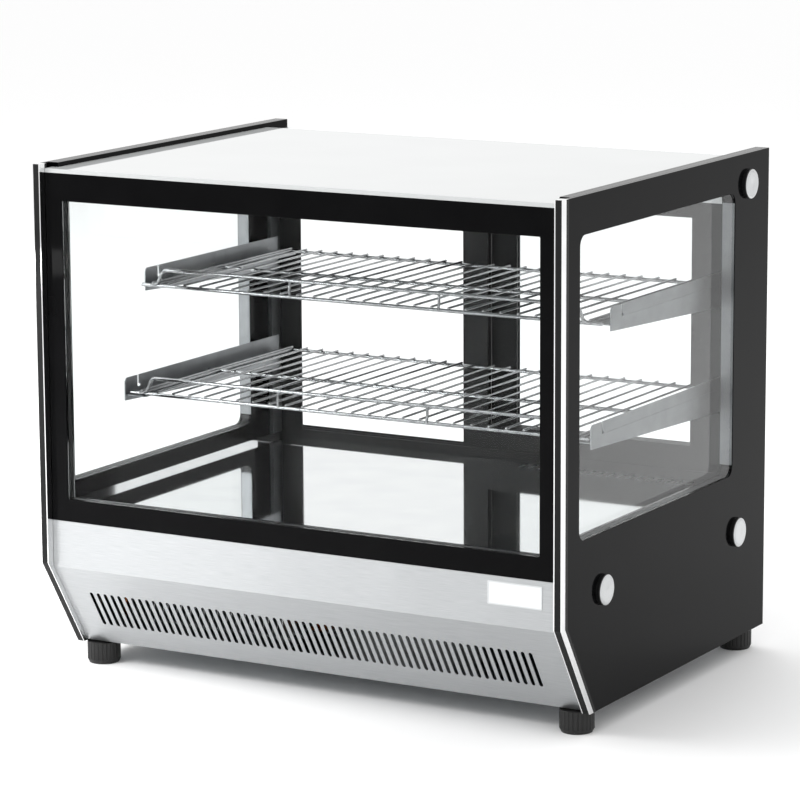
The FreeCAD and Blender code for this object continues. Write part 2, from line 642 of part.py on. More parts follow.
def make_base_pan():
    half = WALL_IN - INNER_PLAY
    pan = block(-half, half, PAN_FRONT, REAR_PANEL_Y - 1, PAN_Z, PAN_Z + PAN_SHEET)
    side = block(half - PAN_SHEET, half, PAN_FRONT + 6, REAR_PANEL_Y - 1, PAN_Z, 60)
    rear = block(-half, half, REAR_PANEL_Y - 1 - PAN_SHEET, REAR_PANEL_Y - 1, PAN_Z, 24)
    pieces = [pan, side, mirrored(side), rear]
    for x, y in foot_places().values():
        inwards = math.copysign(1, -x)
        centre = V(x, y, PAN_Z)
        boss = disc(BOSS_RADIUS, BOSS_HEIGHT, centre, V(0, 0, 1))
        wall = x - inwards * BOSS_RADIUS
        web = block(min(x, wall), max(x, wall), y - 1.5, y + 1.5, PAN_Z, PAN_Z + 14)
        pieces += [boss, web]
    pan = join(pieces)
    for x, y in foot_places().values():
        pan = pan.cut(disc(STUD_RADIUS + STUD_CLEARANCE, 60, V(x, y, PAN_Z - 5), V(0, 0, 1)))
    slots = []
    for i in range(PAN_SLOTS):
        x = PAN_SLOT_FIRST_X + i * PAN_SLOT_PITCH
        slots.append(block(x, x + PAN_SLOT_WIDTH, 250, 300, PAN_Z - 1, PAN_Z + 3))
    save("base_pan", pan.cut(Part.makeCompound(slots)))


def make_feet():
    """A ribbed rubber foot and the steel stud it is moulded on."""
    for name, (x, y) in foot_places().items():
        height = FOOT_HEIGHT - FOOT_GAP
        tread = Part.makeCone(FOOT_RADIUS - TREAD_TAPER, FOOT_RADIUS, TREAD,
                              V(x, y, -FOOT_HEIGHT), V(0, 0, 1))
        barrel = disc(FOOT_RADIUS, height - TREAD, V(x, y, TREAD - FOOT_HEIGHT), V(0, 0, 1))
        rubber = join([tread, barrel])
        collar = disc(NECK_RADIUS, PAN_Z + FOOT_GAP, V(x, y, -FOOT_GAP), V(0, 0, 1))
        stud = disc(STUD_RADIUS, STUD_TOP + 1, V(x, y, 0), V(0, 0, 1))
        grooves = []
        ring = FOOT_RADIUS + 0.5
        for i in range(RIBS):
            angle = 2 * math.pi * i / RIBS
            centre = V(x + ring * math.cos(angle), y + ring * math.sin(angle), TREAD + 0.5 - FOOT_HEIGHT)
            grooves.append(disc(RIB_GROOVE, height, centre, V(0, 0, 1)))
        rubber = rubber.cut(Part.makeCompound(grooves))
        save("foot_" + name, Part.makeCompound([rubber, join([collar, stud])]))


FASCIA_LEFT = 60.0
FASCIA_RIGHT = 330.0
FASCIA_LOW = 60.0
FASCIA_HIGH = 150.0
FASCIA_THICK = 2.0
CONTROLLER_X = 150.0
CONTROLLER_Z = 105.0
CONTROLLER_WIDTH = 74.0
CONTROLLER_HEIGHT = 32.0
SWITCH_X = 250.0
SWITCH_WIDTH = 13.0
SWITCH_HEIGHT = 22.0
SWITCH_Z = 105.0
BUTTONS = {"set_button": -28.0, "up_button": 22.0, "down_button": 31.0}
BUTTON_RADIUS = 3.2
GLAND_X = 305.0
GLAND_Z = 105.0
GLAND_HOLE = 9.0
GLAND_FLANGE = 12.5
GLAND_NECK = 8.6
GLAND_TIP = 6.5
CORD_BORE = 4.0
CONTROLLER_DEPTH = 42.0
BEZEL = 3.0


def make_rear_panel():
    half = WALL_IN - INNER_PLAY
    panel = block(-half, half, REAR_PANEL_Y, REAR_PANEL_Y + SHEET, REAR_PANEL_LOW, REAR_PANEL_TOP)
    holes = []
    for row_z in LOUVRE_ROWS:
        for i in range(LOUVRE_COUNT):
            x = LOUVRE_FIRST_X + i * LOUVRE_PITCH
            holes.append(block(x, x + LOUVRE_WIDTH, REAR_PANEL_Y - 1, REAR_PANEL_Y + 3, row_z,
                               row_z + LOUVRE_HEIGHT))
    panel = panel.cut(Part.makeCompound(holes))
    panel = panel.cut(block(FASCIA_LEFT + 10, GLAND_X - 25, REAR_PANEL_Y - 1, REAR_PANEL_Y + 3,
                            FASCIA_LOW + 10, FASCIA_HIGH - 10))
    panel = panel.cut(disc(GLAND_HOLE, 4, V(GLAND_X, REAR_PANEL_Y - 1, GLAND_Z), V(0, 1, 0)))
    save("rear_panel", panel)
    screws = []
    for x in SCREWS_X:
        for z in SCREWS_Z:
            head = disc(SCREW_RADIUS, SCREW_HEAD, V(x, REAR_PANEL_Y + SHEET, z), V(0, 1, 0))
            head = head.makeFillet(1.4, [e for e in head.Edges if e.BoundBox.YMin > REAR_PANEL_Y + 3])
            slot = block(x - 3, x + 3, REAR_PANEL_Y + 2.6, REAR_PANEL_Y + 5, z - 0.5, z + 0.5)
            screws.append(head.cut(slot))
    save("rear_panel_screws", Part.makeCompound(screws))


def make_controls():
    front = REAR_PANEL_Y + SHEET
    face = front + FASCIA_THICK
    fascia = rounded_y(FASCIA_LEFT, FASCIA_RIGHT, front, face, FASCIA_LOW, FASCIA_HIGH, 5)
    half_w = CONTROLLER_WIDTH / 2
    half_h = CONTROLLER_HEIGHT / 2
    fascia = fascia.cut(block(CONTROLLER_X - half_w + 2, CONTROLLER_X + half_w - 2, front - 1, face + 1,
                              CONTROLLER_Z - half_h + 2, CONTROLLER_Z + half_h - 2))
    body = block(CONTROLLER_X - half_w + 2.3, CONTROLLER_X + half_w - 2.3, face - CONTROLLER_DEPTH, face,
                 CONTROLLER_Z - half_h + 2.3, CONTROLLER_Z + half_h - 2.3)
    bezel = rounded_y(CONTROLLER_X - half_w, CONTROLLER_X + half_w, face, face + BEZEL,
                      CONTROLLER_Z - half_h, CONTROLLER_Z + half_h, 3)
    controller = join([body, bezel])
    controller = controller.cut(block(CONTROLLER_X - 20, CONTROLLER_X + 14, face + 2, face + 4,
                                      CONTROLLER_Z - 9, CONTROLLER_Z + 9))
    for name, offset in BUTTONS.items():
        centre = V(CONTROLLER_X + offset, face - 3, CONTROLLER_Z)
        controller = controller.cut(disc(BUTTON_RADIUS + 0.4, 7, centre, V(0, 1, 0)))
        cap = disc(BUTTON_RADIUS, 5.4, centre + V(0, 1.6, 0), V(0, 1, 0))
        cap = cap.makeFillet(0.6, [e for e in cap.Edges if e.BoundBox.YMin > face + 3.5])
        save(name, cap)
    save("temperature_controller", controller)
    half_x = SWITCH_WIDTH / 2
    half_z = SWITCH_HEIGHT / 2
    fascia = fascia.cut(block(SWITCH_X - half_x, SWITCH_X + half_x, front - 1, face + 1,
                              SWITCH_Z - half_z, SWITCH_Z + half_z))
    save("light_switch", rocker(SWITCH_X, face))
    gland_hole = disc(GLAND_HOLE, 10, V(GLAND_X, front - 2, GLAND_Z), V(0, 1, 0))
    fascia = fascia.cut(gland_hole)
    save("control_fascia", fascia)
    flange = disc(GLAND_FLANGE, 3, V(GLAND_X, face, GLAND_Z), V(0, 1, 0))
    neck = disc(GLAND_NECK, 18, V(GLAND_X, face - 15, GLAND_Z), V(0, 1, 0))
    dome = Part.makeCone(GLAND_NECK, GLAND_TIP, 5, V(GLAND_X, face + 3, GLAND_Z), V(0, 1, 0))
    gland = join([flange, neck, dome]).cut(disc(CORD_BORE, 40, V(GLAND_X, face - 20, GLAND_Z), V(0, 1, 0)))
    save("power_gland", gland)


ROCKER_TILT = 9.0


def rocker(x, face):
    """A two-position rocker: a shallow V of two pads on a barrel, shown in its lower position."""
    half_x = SWITCH_WIDTH / 2 - 0.6
    half_z = SWITCH_HEIGHT / 2 - 1.6
    pivot_y = face - 1.0
    outline = [(-2.0, -half_z), (1.2, -half_z), (0.2, 0.0), (1.2, half_z), (-2.0, half_z), (-5.5, 0.0)]
    body = prism_x([(pivot_y + y + 2.0, SWITCH_Z + z) for y, z in outline], x - half_x, x + half_x)
    body.rotate(V(x, pivot_y, SWITCH_Z), V(1, 0, 0), ROCKER_TILT)
    return body


# ---- rear frame and doors -------------------------------------------------------------------------
def make_rear_frame():
    half = WALL_IN - SIDE_PLAY
    rail = block(-half, half, TOP_REAR - TOP_LAP, TRACK_REAR, RAIL_BOTTOM, RAIL_TOP)
    for door_y in (FRONT_DOOR_Y, REAR_DOOR_Y):
        rail = rail.cut(block(-HALF, HALF, door_y - DOOR_GAP, door_y + DOOR_THICK + DOOR_GAP,
                              RAIL_BOTTOM - 1, DOOR_TOP + DOOR_LIFT))
    rail = rail.cut(block(-HALF, HALF, TOP_REAR - TOP_LAP + RAIL_WALL, TRACK_FRONT - RAIL_WALL,
                          RAIL_BOTTOM - 1, RAIL_TOP - RAIL_WALL))
    save("rear_top_rail", rail)
    track = block(-half, half, TRACK_FRONT, TRACK_REAR, TRACK_BOTTOM, TRACK_TOP)
    for door_y in (FRONT_DOOR_Y, REAR_DOOR_Y):
        track = track.cut(block(-HALF, HALF, door_y - DOOR_GAP, door_y + DOOR_THICK + DOOR_GAP,
                                TRACK_BOTTOM + TRACK_FLOOR, TRACK_TOP + 1))
    save("bottom_track", track)
    jamb = block(half - JAMB_WIDTH, half, JAMB_FRONT, JAMB_FRONT + JAMB_SHEET, TRACK_TOP + 0.3,
                 RAIL_BOTTOM - 0.3)
    save("rear_jambs", Part.makeCompound([jamb, mirrored(jamb)]))


def make_door(name, right_edge, door_y):
    """One sliding door: a moulded frame with a finger pull in its outer stile, and its pane."""
    left_edge = right_edge - DOOR_WIDTH
    frame = block(left_edge, right_edge, door_y, door_y + DOOR_THICK, DOOR_BOTTOM, DOOR_TOP)
    glass_low = DOOR_BOTTOM + DOOR_FOOT
    glass_high = DOOR_TOP - DOOR_HEAD
    frame = frame.cut(block(left_edge + DOOR_STILE, right_edge - DOOR_STILE, door_y - 1,
                            door_y + DOOR_THICK + 1, glass_low, glass_high))
    glass_y = door_y + (DOOR_THICK - DOOR_GLASS) / 2
    pane = (left_edge + DOOR_STILE - DOOR_REBATE, right_edge - DOOR_STILE + DOOR_REBATE, glass_y,
            glass_y + DOOR_GLASS, glass_low - DOOR_REBATE, glass_high + DOOR_REBATE)
    frame = frame.cut(block(*pane))
    pull_x = left_edge + DOOR_STILE / 2
    size = (pull_x - PULL_WIDTH / 2, pull_x + PULL_WIDTH / 2, PULL_Z - PULL_HEIGHT / 2,
            PULL_Z + PULL_HEIGHT / 2)
    back = door_y + PULL_FLOOR
    front = door_y + DOOR_THICK
    frame = frame.cut(rounded_y(size[0], size[1], back, front + 1, size[2], size[3], PULL_ROUND))
    save(name + "_door_frame", frame)
    save(name + "_door_glass", block(*pane))
    cup = rounded_y(size[0], size[1], back, front, size[2], size[3], PULL_ROUND)
    hollow = rounded_y(size[0] + PULL_SHEET, size[1] - PULL_SHEET, back + PULL_SHEET, front + 1,
                       size[2] + PULL_SHEET, size[3] - PULL_SHEET, PULL_ROUND - PULL_SHEET)
    cup = cup.cut(hollow)
    save(name + "_door_pull", cup)


# ---- shelves ---------------------------------------------------------------------------------------
def make_shelf(name, front, z):
    """Thin wires from front to rear, welded on cross rods, with a raised guard at the front."""
    pieces = []
    step = 2 * (SHELF_HALF - ROD / 2) / (SHELF_WIRES - 1)
    wire_z = z + ROD / 2 + WIRE / 2 - 0.5
    for i in range(SHELF_WIRES):
        x = -SHELF_HALF + ROD / 2 + i * step
        pieces.append(rod(V(x, front, wire_z), V(x, SHELF_REAR, wire_z), WIRE / 2))
    middle = (front + SHELF_REAR) / 2
    for y in (front, middle, SHELF_REAR - ROD / 2):
        pieces.append(rod(V(-SHELF_HALF, y, z), V(SHELF_HALF, y, z), ROD / 2))
    side = rod(V(SHELF_HALF - ROD / 2, front, z), V(SHELF_HALF - ROD / 2, SHELF_REAR - ROD / 2, z), ROD / 2)
    pieces += [side, mirrored(side)]
    guard_z = z + GUARD_HEIGHT
    guard_half = SHELF_HALF - 18
    pieces.append(rod(V(-guard_half, front, guard_z), V(guard_half, front, guard_z), ROD / 2))
    for sign in (-1, 1):
        corner = V(sign * guard_half, front, guard_z)
        foot = V(sign * (SHELF_HALF - ROD / 2), front, z)
        pieces.append(Part.makeSphere(ROD / 2, corner))
        pieces.append(rod(corner, foot, ROD / 2))
        pieces.append(Part.makeSphere(ROD / 2, foot))
        stub_x = sign * guard_half / 3
        pieces.append(rod(V(stub_x, front, z), V(stub_x, front, guard_z), ROD / 2 - 0.4))
    save(name, join(pieces))


def bracket(front, z):
    """A pressed plate with an inward ledge for the shelf, and two lugs hooked into the post."""
    top = z + BRACKET_RISE
    ledge_top = z - ROD / 2 - SHELF_PLAY
    outline = [(front, top - BRACKET_FRONT_HEIGHT), (front, top - 4), (front + 4, top), (BRACKET_REAR, top),
               (BRACKET_REAR, top - BRACKET_REAR_HEIGHT)]
    plate = prism_x(outline, BRACKET_X, BRACKET_X + BRACKET_SHEET)
    ledge = block(BRACKET_X - BRACKET_LEDGE, BRACKET_X + BRACKET_SHEET, front + 3, BRACKET_REAR,
                  ledge_top - BRACKET_SHEET, ledge_top)
    pieces = [plate, ledge]
    hook = WALL_IN - POST_THICK + LUG_SHEET
    for lug_z in (top - LUG_TOP, top - BRACKET_REAR_HEIGHT + LUG_BOTTOM):
        pieces.append(block(BRACKET_X, hook + LUG_SHEET, BRACKET_REAR - 6, BRACKET_REAR,
                            lug_z - LUG_HALF, lug_z + LUG_HALF))
        pieces.append(block(hook, hook + LUG_SHEET, BRACKET_REAR - 6, POST_FRONT + 4,
                            lug_z - LUG_HALF, lug_z + LUG_HALF))
    body = join(pieces)
    slot_y = front + BRACKET_SLOT_Y
    slot_low = top - BRACKET_SLOT_DEPTH
    slot = block(BRACKET_X - 1, BRACKET_X + 3, slot_y, slot_y + BRACKET_SLOT, slot_low, top + 1)
    slot_end = slot_y + 2 * BRACKET_SLOT
    toe = block(BRACKET_X - 1, BRACKET_X + 3, slot_y, slot_end, slot_low, slot_low + BRACKET_SLOT)
    crease_z = top - BRACKET_CREASE
    crease = block(BRACKET_X + BRACKET_SHEET - CREASE_HALF, BRACKET_X + 3, slot_end, BRACKET_REAR - 8,
                   crease_z - CREASE_HALF, crease_z + CREASE_HALF)
    return body.cut(slot).cut(toe).cut(crease)


def make_brackets_and_posts():
    levels = {"upper": (UPPER_BRACKET_FRONT, UPPER_SHELF_Z), "lower": (LOWER_BRACKET_FRONT, LOWER_SHELF_Z)}
    post = block(WALL_IN - POST_THICK, WALL_IN - 0.2, POST_FRONT, POST_FRONT + POST_DEPTH,
                 DECK_Z + DECK_EDGE + 1, RAIL_TOP - 2.2)
    for name, (front, z) in levels.items():
        shape = bracket(front, z)
        save(name + "_right_bracket", shape)
        save(name + "_left_bracket", mirrored(shape))
        top = z + BRACKET_RISE
        for lug_z in (top - LUG_TOP, top - BRACKET_REAR_HEIGHT + LUG_BOTTOM):
            post = post.cut(block(WALL_IN - POST_THICK + 1.8, WALL_IN - POST_THICK + 4.2, POST_FRONT - 1,
                                  POST_FRONT + 4 + LUG_PLAY, lug_z - LUG_HALF - LUG_PLAY,
                                  lug_z + LUG_HALF + LUG_PLAY))
    save("shelf_posts", Part.makeCompound([post, mirrored(post)]))
    make_shelf("upper_shelf", UPPER_SHELF_FRONT, UPPER_SHELF_Z)
    make_shelf("lower_shelf", LOWER_SHELF_FRONT, LOWER_SHELF_Z)


make_side_panels()
make_trims()
make_caps()
make_front_glazing()
make_top()
make_front_panel()
make_deck()
make_tub()
make_evaporator()
make_condenser()
make_compressor()
make_refrigerant_lines()
make_drip_tray()
make_base_pan()
make_feet()
make_rear_panel()
make_controls()
make_rear_frame()
make_door("rear", REAR_DOOR_RIGHT, REAR_DOOR_Y)
make_door("front", FRONT_DOOR_RIGHT, FRONT_DOOR_Y)
make_brackets_and_posts()
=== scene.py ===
import json
import math
from functools import partial

import bmesh
import bpy
from mathutils import Matrix, Vector


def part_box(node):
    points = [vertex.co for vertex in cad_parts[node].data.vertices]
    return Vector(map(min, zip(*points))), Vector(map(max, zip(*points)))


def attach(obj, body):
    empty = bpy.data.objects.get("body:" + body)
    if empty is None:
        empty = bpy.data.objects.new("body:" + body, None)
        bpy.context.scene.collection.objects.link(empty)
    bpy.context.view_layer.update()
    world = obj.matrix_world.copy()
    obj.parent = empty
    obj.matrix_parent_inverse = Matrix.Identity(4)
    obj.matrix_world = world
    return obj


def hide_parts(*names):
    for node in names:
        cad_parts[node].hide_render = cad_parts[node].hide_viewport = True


# Counter-top refrigerated display case for a bakery. Metres, +X along the front, +Y to the rear, +Z up.

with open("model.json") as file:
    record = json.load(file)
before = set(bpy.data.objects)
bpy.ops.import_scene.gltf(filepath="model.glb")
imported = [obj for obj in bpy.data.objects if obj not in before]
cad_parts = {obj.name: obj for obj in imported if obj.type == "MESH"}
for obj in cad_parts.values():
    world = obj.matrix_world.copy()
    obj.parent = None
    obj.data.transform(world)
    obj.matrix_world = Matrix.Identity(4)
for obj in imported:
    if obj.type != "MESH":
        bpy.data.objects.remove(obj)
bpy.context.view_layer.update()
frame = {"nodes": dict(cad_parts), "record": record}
scene = bpy.context.scene
MM = 0.001


# ---- nodes and colours ---------------------------------------------------------------------------
def linear(code):
    """A hex sRGB colour as linear red, green, blue and full alpha."""
    channels = [int(code[i:i + 2], 16) / 255 for i in (1, 3, 5)]
    return [c / 12.92 if c <= 0.04045 else ((c + 0.055) / 1.055) ** 2.4 for c in channels] + [1.0]


def add(tree, kind, sockets=None, **settings):
    """A node with its settings; a socket takes a plain value or another node's output."""
    node = tree.nodes.new(kind)
    for name, value in settings.items():
        setattr(node, name, value)
    for name, value in (sockets or {}).items():
        if isinstance(value, bpy.types.NodeSocket):
            tree.links.new(value, node.inputs[name])
        else:
            node.inputs[name].default_value = value
    return node


def new_material(name):
    made = bpy.data.materials.new(name)
    made.use_nodes = True
    made.node_tree.nodes.clear()
    return made, made.node_tree


def finish_material(tree, shader):
    add(tree, "ShaderNodeOutputMaterial", {"Surface": shader})


def ramp(tree, factor, low, high, start=0.0, end=1.0):
    """Two hex colours blended between two values of a factor."""
    node = add(tree, "ShaderNodeValToRGB", {"Fac": factor})
    node.color_ramp.elements[0].position = start
    node.color_ramp.elements[1].position = end
    node.color_ramp.elements[0].color = linear(low)
    node.color_ramp.elements[1].color = linear(high)
    return node.outputs["Color"]


def spread(tree, factor, low, high):
    """A factor from 0 to 1 turned into a value from low to high."""
    node = add(tree, "ShaderNodeMapRange", {"Value": factor, "To Min": low, "To Max": high})
    return node.outputs["Result"]


def speckle(tree, size_mm, detail=2.0, stretch=(1, 1, 1)):
    """Noise whose features are about size_mm across on the object itself."""
    place = add(tree, "ShaderNodeTexCoord").outputs["Object"]
    mapped = add(tree, "ShaderNodeMapping", {"Vector": place, "Scale": stretch})
    noise = add(tree, "ShaderNodeTexNoise", {"Vector": mapped.outputs["Vector"],
                                             "Scale": 1 / (size_mm * MM), "Detail": detail})
    return noise.outputs["Fac"]


def relief(tree, height, depth_mm):
    node = add(tree, "ShaderNodeBump", {"Height": height, "Distance": depth_mm * MM, "Strength": 1.0})
    return node.outputs["Normal"]


NOISE_START = 0.3          # noise rarely leaves these two values, so a colour ramp runs between them
NOISE_END = 0.7


# ---- metals ---------------------------------------------------------------------------------------
DRAWN_OUT = 0.012          # noise is squeezed by this along the grain, so that it reads as long lines
GRAIN = {"X": (DRAWN_OUT, 1, 1), "Y": (1, DRAWN_OUT, 1), "Z": (1, 1, DRAWN_OUT)}
ACROSS = {"X": (1, 0, 0), "Y": (0, 1, 0), "Z": (0, 0, 1)}
BRUSHED_DEPTH_MM = 0.004
BRUSHED_STRETCH = 0.55     # how far highlights are drawn across the grain
CLOUD_MM = 90              # size of the broad patches in brushed sheet
RIPPLE_MM = 1.5            # size of the shallow ripple in smooth metal
FLAKE_MM = 7               # size of a zinc crystal
LATHE_RINGS = 60.0
SMOOTHEST = 0.02           # no metal's roughness goes below this
BRUSHED_SPREAD = (0.07, 0.09)  # how far roughness strays below and above its middle value
SMOOTH_SPREAD = (0.04, 0.05)


def brushed_metal(name, dark, light, roughness, along, grain_mm):
    """Sheet brushed along one axis: lines of slightly different gloss, and highlights drawn across them."""
    made, tree = new_material(name)
    lines = speckle(tree, grain_mm, 3.0, GRAIN[along])
    clouds = speckle(tree, CLOUD_MM, 1.0)
    both = add(tree, "ShaderNodeMath", {0: lines, 1: clouds}, operation="MULTIPLY_ADD")
    tree.links.new(clouds, both.inputs[2])
    normal = add(tree, "ShaderNodeTexCoord").outputs["Normal"]
    tangent = add(tree, "ShaderNodeVectorMath", {0: normal, 1: ACROSS[along]}, operation="CROSS_PRODUCT")
    shader = add(tree, "ShaderNodeBsdfPrincipled", {
        "Base Color": ramp(tree, lines, dark, light, NOISE_START, NOISE_END), "Metallic": 1.0,
        "Roughness": spread(tree, both.outputs[0], roughness - BRUSHED_SPREAD[0],
                            roughness + BRUSHED_SPREAD[1]),
        "Anisotropic": BRUSHED_STRETCH, "Tangent": tangent.outputs[0],
        "Normal": relief(tree, lines, BRUSHED_DEPTH_MM)})
    finish_material(tree, shader.outputs[0])
    return made


def smooth_metal(name, dark, light, roughness, patch_mm=25, depth_mm=0.003):
    """Plated, polished or drawn metal: even gloss with faint patches and a very shallow ripple."""
    made, tree = new_material(name)
    patches = speckle(tree, patch_mm, 2.0)
    lowest = max(SMOOTHEST, roughness - SMOOTH_SPREAD[0])
    fine = speckle(tree, RIPPLE_MM, 2.0)
    shader = add(tree, "ShaderNodeBsdfPrincipled", {
        "Base Color": ramp(tree, patches, dark, light, NOISE_START, NOISE_END), "Metallic": 1.0,
        "Roughness": spread(tree, patches, lowest, roughness + SMOOTH_SPREAD[1]),
        "Normal": relief(tree, fine, depth_mm)})
    finish_material(tree, shader.outputs[0])
    return made


def galvanised_sheet():
    """Zinc-coated steel: crystal flakes some millimetres wide, each a little lighter or duller."""
    made, tree = new_material("galvanised_steel_sheet")
    place = add(tree, "ShaderNodeTexCoord").outputs["Object"]
    flakes = add(tree, "ShaderNodeTexVoronoi", {"Vector": place, "Scale": 1 / (FLAKE_MM * MM)},
                 feature="F1")
    tone = add(tree, "ShaderNodeSeparateColor", {"Color": flakes.outputs["Color"]}).outputs["Red"]
    shader = add(tree, "ShaderNodeBsdfPrincipled", {
        "Base Color": ramp(tree, tone, "#8d9296", "#b4b9bc"), "Metallic": 1.0,
        "Roughness": spread(tree, tone, 0.34, 0.5),
        "Normal": relief(tree, speckle(tree, 2.0), 0.01)})
    finish_material(tree, shader.outputs[0])
    return made


def turned_metal():
    """Machined stainless face: fine rings left by the lathe, read from the disc's own map."""
    made, tree = new_material("turned_stainless_steel")
    own = add(tree, "ShaderNodeUVMap", uv_map="turning").outputs["UV"]
    across = add(tree, "ShaderNodeSeparateXYZ", {"Vector": own}).outputs["X"]
    rings = add(tree, "ShaderNodeTexNoise", {"W": across, "Scale": LATHE_RINGS, "Detail": 2.0},
                noise_dimensions="1D").outputs["Fac"]
    shader = add(tree, "ShaderNodeBsdfPrincipled", {
        "Base Color": ramp(tree, rings, "#b9bbbd", "#dcdddd", NOISE_START, NOISE_END), "Metallic": 1.0,
        "Roughness": spread(tree, rings, 0.22, 0.36),
        "Normal": relief(tree, rings, 0.01)})
    finish_material(tree, shader.outputs[0])
    return made


# ---- plastics, paints, rubber and glass -------------------------------------------------------------
PATCH_MM = 60              # size of the patches of gloss on a moulding
MOULDED_SPREAD = (0.05, 0.06)
REFLECTION_TINT = "#5a5a5a"  # darkens what the clear glass reflects


def moulded(name, dark, light, roughness, grain_mm, depth_mm, ior=1.49, coat=0.0):
    """Moulded or extruded plastic: the tool's fine texture, with gloss that varies a little over the part."""
    made, tree = new_material(name)
    grain = speckle(tree, grain_mm, 3.0)
    patches = speckle(tree, PATCH_MM, 2.0)
    shader = add(tree, "ShaderNodeBsdfPrincipled", {
        "Base Color": ramp(tree, patches, dark, light, NOISE_START, NOISE_END), "IOR": ior,
        "Roughness": spread(tree, patches, roughness - MOULDED_SPREAD[0], roughness + MOULDED_SPREAD[1]),
        "Coat Weight": coat, "Coat Roughness": 0.08,
        "Normal": relief(tree, grain, depth_mm)})
    finish_material(tree, shader.outputs[0])
    return made


def window_glass(name, colour, ior):
    """Clear glass, nearly colourless, with weak reflections; lamps shine straight through it."""
    made, tree = new_material(name)
    pane = add(tree, "ShaderNodeBsdfPrincipled", {
        "Base Color": linear(colour), "Roughness": 0.0, "IOR": ior, "Transmission Weight": 1.0,
        "Specular Tint": linear(REFLECTION_TINT)})
    clear = add(tree, "ShaderNodeBsdfTransparent", {"Color": linear(colour)})
    path = add(tree, "ShaderNodeLightPath")
    soft_rays = {0: path.outputs["Is Shadow Ray"], 1: path.outputs["Is Diffuse Ray"]}
    either = add(tree, "ShaderNodeMath", soft_rays, operation="MAXIMUM")
    both = add(tree, "ShaderNodeMixShader", {0: either.outputs[0], 1: pane.outputs[0], 2: clear.outputs[0]})
    finish_material(tree, both.outputs[0])
    return made


def enamelled_glass():
    """Black ceramic enamel fired on the inside of a pane: deep black, and it reflects little."""
    made, tree = new_material("black_enamelled_glass")
    firing = speckle(tree, 45, 2.0)
    shader = add(tree, "ShaderNodeBsdfPrincipled", {
        "Base Color": ramp(tree, firing, "#050506", "#080809", NOISE_START, NOISE_END), "IOR": 1.5,
        "Specular IOR Level": 0.05, "Roughness": spread(tree, firing, 0.05, 0.11)})
    finish_material(tree, shader.outputs[0])
    return made


def top_pane():
    """Light enamel baked on the back of toughened glass, glossy enough to mirror the panels."""
    made, tree = new_material("back_painted_white_glass")
    waves = speckle(tree, 120, 1.0)
    shader = add(tree, "ShaderNodeBsdfPrincipled", {
        "Base Color": ramp(tree, waves, "#c0c2c2", "#c7c9c9"), "IOR": 1.6,
        "Roughness": spread(tree, waves, 0.02, 0.05),
        "Normal": relief(tree, waves, 0.02)})
    finish_material(tree, shader.outputs[0])
    return made


FINISHES = {
    "stainless": brushed_metal("brushed_stainless_steel", "#a9abad", "#babcbd", 0.3, "X", 0.35),
    "mirror_steel": smooth_metal("mirror_polished_stainless_steel", "#e9eaeb", "#eff0f0", 0.03, 60, 0.001),
    "galvanised": galvanised_sheet(),
    "bracket_steel": smooth_metal("satin_stainless_steel", "#8b8d8f", "#9b9d9f", 0.42, 25, 0.006),
    "chrome_wire": smooth_metal("bright_chromium_plate", "#8f9092", "#a3a4a5", 0.12, 8),
    "polished_trim": smooth_metal("polished_anodised_aluminium", "#eeeeef", "#f7f7f7", 0.12, 30),
    "cap_metal": turned_metal(),
    "black_cap": moulded("black_nylon_collar", "#0b0b0c", "#111112", 0.32, 0.6, 0.01),
    "black_insert": moulded("black_pvc_strip", "#070708", "#0c0c0d", 0.4, 0.9, 0.01, 1.3),
    "clear_glass": window_glass("soda_lime_glass", "#fcfdfd", 1.2),
    "black_border": enamelled_glass(),
    "white_glass": top_pane(),
    "aluminium": brushed_metal("satin_anodised_aluminium", "#c9cbcc", "#d8dadb", 0.36, "X", 0.6),
    "lamp_lens": moulded("opal_polycarbonate", "#eef0ee", "#f7f8f6", 0.42, 1.0, 0.01, 1.58),
    "black_track": moulded("black_extruded_pvc", "#0a0a0b", "#101011", 0.42, 1.2, 0.012, 1.4),
    "door_frame": moulded("black_abs_moulding", "#09090a", "#0f0f10", 0.45, 0.8, 0.015, 1.4),
    "door_pull": smooth_metal("satin_nickel_plate", "#b4b2ad", "#c7c5c0", 0.26, 12),
    "foam": moulded("white_polystyrene_liner", "#e4e6e4", "#f0f1ef", 0.5, 2.5, 0.06),
    "fins": smooth_metal("rolled_aluminium_fin", "#c4c7c9", "#dcdee0", 0.3, 10, 0.01),
    "fan_plastic": moulded("black_pbt_moulding", "#0d0d0e", "#151516", 0.45, 0.7, 0.02, 1.55),
    "compressor_paint": moulded("black_stoved_enamel", "#070708", "#0e0e0f", 0.28, 3.0, 0.03, 1.5, 0.3),
    "copper": smooth_metal("drawn_copper_tube", "#b9653f", "#d98a5f", 0.24, 15, 0.006),
    "fascia_paint": moulded("black_powder_coat", "#101112", "#191a1b", 0.5, 0.7, 0.05),
    "controller_plastic": moulded("graphite_abs_moulding", "#121316", "#1a1b1f", 0.38, 0.6, 0.01),
    "key_rubber": moulded("grey_silicone_key", "#3c3e41", "#484a4d", 0.6, 0.5, 0.01, 1.41),
    "switch_plastic": moulded("green_polycarbonate_rocker", "#16642a", "#1f7d37", 0.2, 2.0, 0.01, 1.58),
    "gland_plastic": moulded("black_nylon_gland", "#0c0c0d", "#131314", 0.45, 0.6, 0.015, 1.53),
    "screw_steel": smooth_metal("zinc_plated_steel", "#aeb2b6", "#c6cacd", 0.25, 4),
    "badge_plate": moulded("white_enamelled_plate", "#dfe2e5", "#e8ebed", 0.22, 1.5, 0.008, 1.5, 0.4),
    "foot_rubber": moulded("black_natural_rubber", "#0a0a0a", "#141413", 0.55, 1.0, 0.03, 1.52),
}

